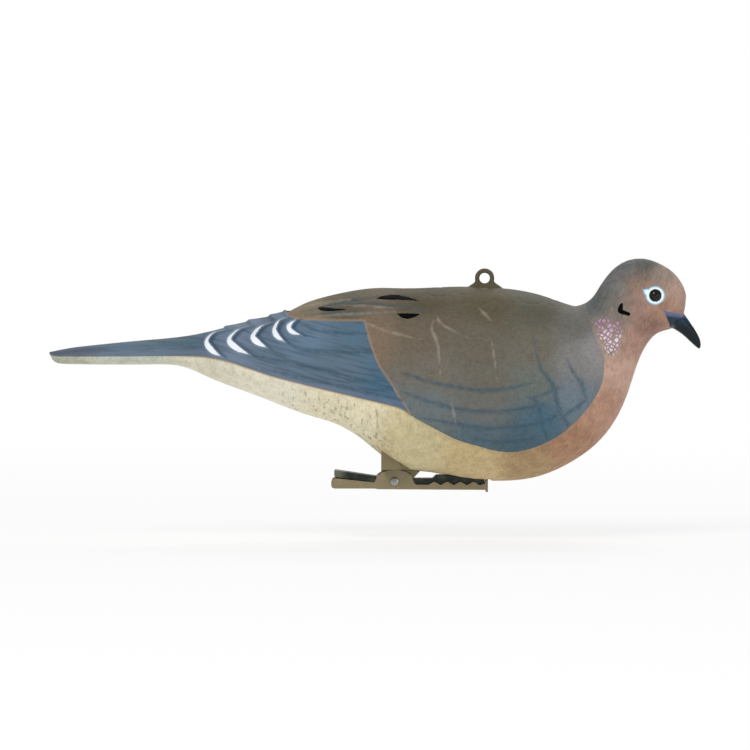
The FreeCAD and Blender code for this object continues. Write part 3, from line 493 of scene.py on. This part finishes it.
def feather_paint():
    """Matte acrylic airbrushed over moulded polyethylene: soft blends, crisp mask edges, faint barbs."""
    mat, tree, surface, place = material("airbrushed matte acrylic on moulded polyethylene")
    x, _, z = add(tree, "SeparateXYZ", {}, {0: place}).outputs
    f = {}
    for name, parts in FIELDS:
        attribute = add(tree, "Attribute", {"attribute_name": name}, {})
        split = add(tree, "SeparateXYZ", {}, {0: attribute.outputs["Vector"]})
        f.update(zip(parts, split.outputs))
    paint = {}
    for name, _ in PAINTS:
        paint[name] = add(tree, "Attribute", {"attribute_name": name}, {}).outputs["Color"]
    g = {}
    for name, (length, width, height, detail, turn, rough) in GRAINS.items():
        where = add(tree, "Mapping", IN_MM, {"Vector": place, "Rotation": (0.0, turn, 0.0),
                                             "Scale": (length / 1000, width / 1000, height / 1000)})
        g[name] = add(tree, "TexNoise", {}, {"Vector": where, "Scale": 1.0, "Detail": detail,
                                             "Roughness": rough}).outputs["Fac"]
    # Mask edges wander by a quarter of a millimetre, and brushed lines by half to one.
    wobble = add(tree, "Math", MULTIPLY_ADD, {0: g["ragged"], 1: 0.5, 2: -0.25})
    drift = add(tree, "Math", MULTIPLY_ADD, {0: g["drift"], 1: 2.4, 2: -1.2})
    cut = {}
    for name, shift in (("wing", wobble), ("rear", wobble), ("white", wobble), ("shade", wobble),
                        ("black", wobble), ("patch", wobble), ("dark", drift), ("light", drift)):
        cut[name] = add(tree, "Math", ADD, {0: f[name], 1: shift})

    def coat(under, over, amount, steps, blend="MIX"):
        """Lays one paint over another, as thickly as its soft steps (field, from, to[, least]) allow."""
        for field, start, end, *least in steps:
            step = add(tree, "MapRange", SMOOTH, {0: field, 1: start, 2: end, 3: least[0] if least else 0.0})
            amount = add(tree, "Math", MULTIPLY, {0: step, 1: amount})
        over = linear(over) if isinstance(over, str) else over
        return add(tree, "Mix", {"data_type": "RGBA", "blend_type": blend}, {0: amount, 6: under, 7: over})

    def flecked(under, flecks):
        """Lays light (SOFT_LIGHT) and dark (MULTIPLY) flecks of grain over a paint."""
        for field, start, end, amount, code, blend in flecks:
            under = coat(under, code, amount, [(field, start, end)], blend)
        return under

    # Body: buff and pink mottling, 4 mm and 1 mm blotches, with a woven looking grain.
    colour = flecked(paint["under_paint"], [
        (g["blotch"], 0.40, 0.66, 0.20, "#fff6df", "SOFT_LIGHT"),
        (g["blotch"], 0.58, 0.36, 0.13, "#9a8a6c", "MULTIPLY"),
        (g["weave"], 0.45, 0.68, 0.18, "#fff2d8", "SOFT_LIGHT"),
        (g["weave"], 0.50, 0.30, 0.16, "#8c7f68", "MULTIPLY"),
    ])
    # Short upright ticks on the vent, brushed 3 to 5 mm tall.
    colour = coat(colour, "#85806a", 0.55, [(g["flick"], 0.61, 0.66), (x, -0.084, -0.076),
                                            (x, -0.026, -0.036), (cut["rear"], -2.2, -4.5)])
    # Gold where the tail's underside meets its blue top.
    colour = coat(colour, "#a5804c", 0.75, [(cut["rear"], -1.0, -0.2), (x, -0.14, -0.115)])

    # Flight feathers: fine lengthwise barbs that follow the wing's lower edge.
    along = add(tree, "Math", MULTIPLY, {0: x, 1: 70.0})
    across = add(tree, "Math", MULTIPLY, {0: f["rear"], 1: 0.85})
    upward = add(tree, "Math", MULTIPLY, {0: z, 1: 60.0})
    barb_place = add(tree, "CombineXYZ", {}, {0: along, 1: across, 2: upward})
    barbs = add(tree, "TexNoise", {}, {"Vector": barb_place, "Scale": 1.0, "Detail": 4.0}).outputs["Fac"]
    rear = flecked(paint["rear_paint"], [
        (barbs, 0.44, 0.66, 0.34, "#aebfd0", "SOFT_LIGHT"),
        (barbs, 0.54, 0.34, 0.34, "#445a6c", "MULTIPLY"),
        (f["rear"], 6.0, 0.6, 0.22, "#8d8fa8", "MIX"),
    ])
    colour = coat(colour, rear, 1.0, [(cut["rear"], -0.12, 0.12)])

    # Wing coverts: soft slanting barbs.
    wing = flecked(paint["wing_paint"], [
        (g["covert"], 0.42, 0.68, 0.20, "#d0c4b4", "SOFT_LIGHT"),
        (g["covert"], 0.54, 0.32, 0.15, "#5a574e", "MULTIPLY"),
        (g["down"], 0.50, 0.68, 0.16, "#d8cfc2", "SOFT_LIGHT"),
        (g["down"], 0.46, 0.30, 0.14, "#56564f", "MULTIPLY"),
        (g["blotch"], 0.42, 0.66, 0.20, "#a58d74", "SOFT_LIGHT"),
    ])
    colour = coat(colour, wing, 1.0, [(cut["wing"], -0.12, 0.12)])
    # A pinkish rim along the wing's rear edge.
    colour = coat(colour, "#a89083", 0.48, [(cut["wing"], -0.4, 0.1), (cut["wing"], 1.5, 0.2),
                                            (cut["rear"], -0.12, 0.12)])
    # Brushed lines, rubbed through in places: blue paint with painted shade round it along the grooves, and
    # a painted highlight along the raised edges.
    rubbed = (g["worn"], 0.34, 0.60, 0.4)
    # Painted shade: a soft blue darkening round each groove.
    colour = coat(colour, "#3a5666", 0.24, [(cut["dark"], -1.7, 0.1)])
    colour = coat(colour, "#2f4b5a", 0.46, [(cut["dark"], -0.8, 0.3), rubbed])
    # Painted highlight along the raised feather edges.
    colour = coat(colour, "#aaa08f", 0.40, [(cut["light"], -0.7, 0.5), rubbed])

    # Iridescent neck patch: 1.9 mm scales, mauve, and white towards its lower tip.
    scale_place = add(tree, "Mapping", IN_MM, {"Vector": place, "Rotation": (0.0, 0.7, 0.0),
                                               "Scale": (0.0017, 0.0030, 0.0023)}).outputs[0]
    cells = {"Vector": scale_place, "Scale": 1.0, "Randomness": 0.8}
    crack = add(tree, "TexVoronoi", {"feature": "DISTANCE_TO_EDGE"}, cells).outputs["Distance"]
    shade = add(tree, "TexVoronoi", {}, cells).outputs["Color"]
    shade = add(tree, "SeparateColor", {}, {0: shade}).outputs[0]
    pearl = coat(linear("#b58fa8"), "#f6e2f0", 1.0, [(z, 0.0760, 0.0650)])
    scales = coat(coat(colour, "#7c6470", 0.5, []), pearl, 1.0, [(crack, 0.02, 0.34), (shade, -0.2, 0.5)])
    colour = coat(colour, scales, 0.95, [(cut["patch"], -0.9, 1.0), (shade, 0.02, 0.2)])

    # White feather tips with a painted shadow beside each, and black marks.
    # Painted shadow in dark blue beside each white feather tip.
    colour = coat(colour, "#263c52", 0.80, [(cut["shade"], -1.2, 0.6)])
    colour = coat(colour, "#a9bdd0", 0.35, [(cut["white"], -1.0, 0.2)])
    colour = coat(colour, "#f3f8fd", 1.0, [(cut["white"], -0.2, 0.3)])
    colour = coat(colour, "#08090a", 1.0, [(cut["black"], -0.12, 0.12)])

    # Bill: blue-black enamel, lilac where its upper edge leaves the face, with a painted blue sheen over its
    # upper part.
    horn = coat(linear("#07151b"), "#6d6f98", 1.0, [(f["base"], -0.6, 0.9)])
    # Painted sheen: blue over the bill's upper part, fading out towards its lower edge.
    horn = coat(horn, "#27506a", 0.30, [(f["base"], -4.5, -0.5)])
    colour = coat(colour, horn, 1.0, [(f["bill"], -0.12, 0.12)])

    # Eye ring: white, pale blue at its outer edge; black inside the lid.
    white = coat(linear("#86c9e6"), "#f2fcff", 1.0, [(f["ring"], 0.15, 0.9)])
    colour = coat(colour, white, 1.0, [(f["ring"], -0.12, 0.12)])
    colour = coat(colour, "#0a0706", 1.0, [(f["eye"], 2.85, 2.65)])
    tree.links.new(colour.outputs[2], surface.inputs["Base Color"])

    # The enamelled bill is smoother than the matte body, and the black marks shine less.
    on = {}
    for name, field in (("bill", f["bill"]), ("rear", cut["rear"]), ("wing", cut["wing"])):
        on[name] = add(tree, "MapRange", SMOOTH, {0: field, 1: -0.12, 2: 0.12})
    gloss = add(tree, "MapRange", {}, {0: g["grain"], 1: 0.3, 2: 0.7, 3: 0.60, 4: 0.76})
    gloss = add(tree, "Mix", FLOATS, {0: on["bill"], 2: gloss, 3: 0.30})
    tree.links.new(gloss.outputs[0], surface.inputs["Roughness"])
    surface.inputs["IOR"].default_value = 1.46
    shine = add(tree, "MapRange", SMOOTH, {0: cut["black"], 1: -0.12, 2: 0.12, 3: 0.30, 4: 0.04})
    tree.links.new(shine.outputs[0], surface.inputs["Specular IOR Level"])

    # Relief of the mould's grain and the barbs, about 0.1 mm.
    relief = add(tree, "Math", ADD, {0: g["grain"], 1: g["weave"]})
    for part, zone in ((barbs, "rear"), (g["down"], "wing")):
        share = add(tree, "Math", MULTIPLY, {0: part, 1: on[zone]})
        relief = add(tree, "Math", ADD, {0: relief, 1: share})
    relief = add(tree, "Mix", FLOATS, {0: on["bill"], 2: relief, 3: 1.5})
    bump = add(tree, "Bump", {}, {"Strength": 0.5, "Distance": 0.00022, "Height": relief})
    tree.links.new(bump.outputs[0], surface.inputs["Normal"])
    return mat


def finish(tree, surface, tint, fine, rough, bump):
    """Gives a surface its tint, and roughness and relief from one fine noise."""
    tree.links.new(tint, surface.inputs["Base Color"])
    sheen = add(tree, "MapRange", {}, {0: fine, 1: 0.3, 2: 0.7, 3: rough[0], 4: rough[1]})
    tree.links.new(sheen.outputs[0], surface.inputs["Roughness"])
    relief = add(tree, "Bump", {}, {"Strength": bump[0], "Distance": bump[1], "Height": fine})
    tree.links.new(relief.outputs[0], surface.inputs["Normal"])


def metal(name, code, worn, metallic, rough, wear_amount, paler_behind=None):
    """Sheet metal with a thin finish, rubbed through on 4 mm patches and, if asked, paler towards the
    handle's end.
    """
    mat, tree, surface, place = material(name)
    blotch = add(tree, "TexNoise", {}, {"Vector": place, "Scale": 260.0, "Detail": 4.0}).outputs["Fac"]
    fine = add(tree, "TexNoise", {}, {"Vector": place, "Scale": 2600.0, "Detail": 2.0}).outputs["Fac"]
    wear_and_pale_end = add(tree, "MapRange", {}, {0: blotch, 1: 0.50, 2: 0.72, 3: 0.0, 4: wear_amount})
    if paler_behind is not None:
        along = add(tree, "SeparateXYZ", {}, {0: place}).outputs[0]
        ragged = add(tree, "Math", MULTIPLY_ADD, {0: blotch, 1: 0.004, 2: along})
        # Paler behind the given x, towards the handle's end.
        pale_end = add(tree, "MapRange", {}, {0: ragged, 1: paler_behind + 0.0035, 2: paler_behind, 4: 0.85})
        wear_and_pale_end = add(tree, "Math", {"operation": "MAXIMUM"}, {0: wear_and_pale_end, 1: pale_end})
    tint = add(tree, "Mix", COLOURS, {0: wear_and_pale_end, 6: linear(code), 7: linear(worn)}).outputs[2]
    finish(tree, surface, tint, fine, (rough - 0.08, rough + 0.1), (0.25, 0.0001))
    surface.inputs["Metallic"].default_value = metallic
    return mat


def plastic(name, code, second, rough):
    """Moulded plastic: a fine spark-eroded grain and faint flow marks, some 5 mm across."""
    mat, tree, surface, place = material(name)
    blotch = add(tree, "TexNoise", {}, {"Vector": place, "Scale": 180.0, "Detail": 3.0}).outputs["Fac"]
    fine = add(tree, "TexNoise", {}, {"Vector": place, "Scale": 2200.0, "Detail": 2.0}).outputs["Fac"]
    tint = add(tree, "Mix", COLOURS, {0: blotch, 6: linear(code), 7: linear(second)}).outputs[2]
    finish(tree, surface, tint, fine, (rough - 0.06, rough + 0.08), (0.3, 0.00012))
    surface.inputs["IOR"].default_value = 1.49
    return mat


def give(node, mat):
    """Gives a CAD node its material."""
    data = NODES[node].data
    data.materials.clear()
    data.materials.append(mat)


# ------------------------------------------------------------------ build
skin = bird_skin()
coat = feather_paint()
for label, side, node in (("right_feathers", -1, "right_shell"), ("left_feathers", 1, "left_shell")):
    half = feathered(skin, side, label)
    half.data.materials.append(coat)
    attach(half, "decoy")
    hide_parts(node)
skin.free()

# Glass-like bead, dark brown to black.
bead = plastic("polished acrylic bead, brown black", "#060403", "#150b06", 0.1)
bead.node_tree.nodes["Principled BSDF"].inputs["Specular IOR Level"].default_value = 0.32
give("right_eye", bead)
give("left_eye", bead)
give("clip_saddle", plastic("moulded nylon, olive tan", "#7d7150", "#6e6344", 0.5))
give("lower_jaw", metal("steel sheet, khaki powder coat", "#84775a", "#94866a", 0.25, 0.46, 0.6))
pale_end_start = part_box("upper_jaw")[0].x + 0.0045       # where the upper handle turns paler towards its end
give("upper_jaw", metal("steel sheet, green-black", "#1b221b", "#6c6d5c", 0.45, 0.42, 0.35, pale_end_start))
steel = metal("bright nickel-plated steel", "#9a9a93", "#6f6e67", 1.0, 0.26, 0.6)
for node in ("pivot_pin", "clip_rivet", "right_screw", "left_screw"):
    give(node, steel)
# On the real clip the spring winds up as the clip opens, one leg with the upper handle and the other with
# the lower; here it is one smooth-shaded copy of the CAD spring.
wire = joined(["torsion_spring"], "spring_wire")
wire.data.shade_smooth()
wire.data.materials.append(metal("spring steel wire, oiled", "#6f6f6a", "#4c4a44", 1.0, 0.3, 0.5))
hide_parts("torsion_spring")
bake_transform(wire)

# ------------------------------------------------------------------ stage, light and camera
WHITE = linear("#ffffff")
FLOOR_GAP = 0.022       # from the lower jaw down to the floor, in m
DISTANCE = 3.0          # from the camera to the bird, in m
TILT = math.radians(2.0)

low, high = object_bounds()
centre = (low + high) / 2
bm = bmesh.new()
bmesh.ops.create_circle(bm, cap_ends=True, segments=96, radius=6.0)
bmesh.ops.translate(bm, verts=bm.verts, vec=(0, 0, low.z - FLOOR_GAP))
mesh = bpy.data.meshes.new("floor")
bm.to_mesh(mesh)
bm.free()
floor = bpy.data.objects.new("floor", mesh)
bpy.context.scene.collection.objects.link(floor)
# Paper that fades into the white of the room.
mat, tree, surface, place = material("pale paper floor")
surface.inputs["Base Color"].default_value = WHITE
surface.inputs["Roughness"].default_value = 0.9
away = add(tree, "VectorMath", {"operation": "LENGTH"}, {0: place}).outputs["Value"]
fade = add(tree, "MapRange", SMOOTH, {0: away, 1: 0.25, 2: 1.2, 3: 0.72, 4: 1.0})
glow = add(tree, "Emission", {}, {"Color": WHITE, "Strength": 1.0})
seamless = add(tree, "MixShader", {}, {0: fade, 1: surface, 2: glow})
tree.links.new(seamless.outputs[0], tree.nodes["Material Output"].inputs[0])
floor.data.materials.append(mat)

# The room lights the bird softly and looks white itself.
world = bpy.data.worlds.new("studio")
bpy.context.scene.world = world
world.use_nodes = True
seen = add(world.node_tree, "LightPath", {}, {}).outputs["Is Camera Ray"]
bright = add(world.node_tree, "MapRange", {}, {0: seen, 3: 0.48, 4: 1.0})
backdrop = world.node_tree.nodes["Background"]
backdrop.inputs[0].default_value = WHITE
world.node_tree.links.new(bright.outputs[0], backdrop.inputs[1])
bpy.context.scene.view_settings.view_transform = "Standard"

for name, spot, size, power in (("key", (-0.9, -1.9, 1.9), 1.2, 30.0), ("fill", (1.6, -1.6, 0.3), 1.6, 8.0),
                                ("back", (0.3, 1.6, 1.5), 1.2, 13.0)):
    data = bpy.data.lights.new(name, "AREA")
    data.size = size
    data.energy = power
    lamp = bpy.data.objects.new(name, data)
    bpy.context.scene.collection.objects.link(lamp)
    lamp.location = spot
    lamp.rotation_euler = (centre - lamp.location).to_track_quat("-Z", "Y").to_euler()

camera = bpy.data.cameras.new("camera")
camera.lens = 310.0
view = bpy.data.objects.new("camera", camera)
bpy.context.scene.collection.objects.link(view)
view.location = centre + DISTANCE * Vector((0.0, -math.cos(TILT), math.sin(TILT)))
view.rotation_euler = (centre - view.location).to_track_quat("-Z", "Y").to_euler()
bpy.context.scene.camera = view
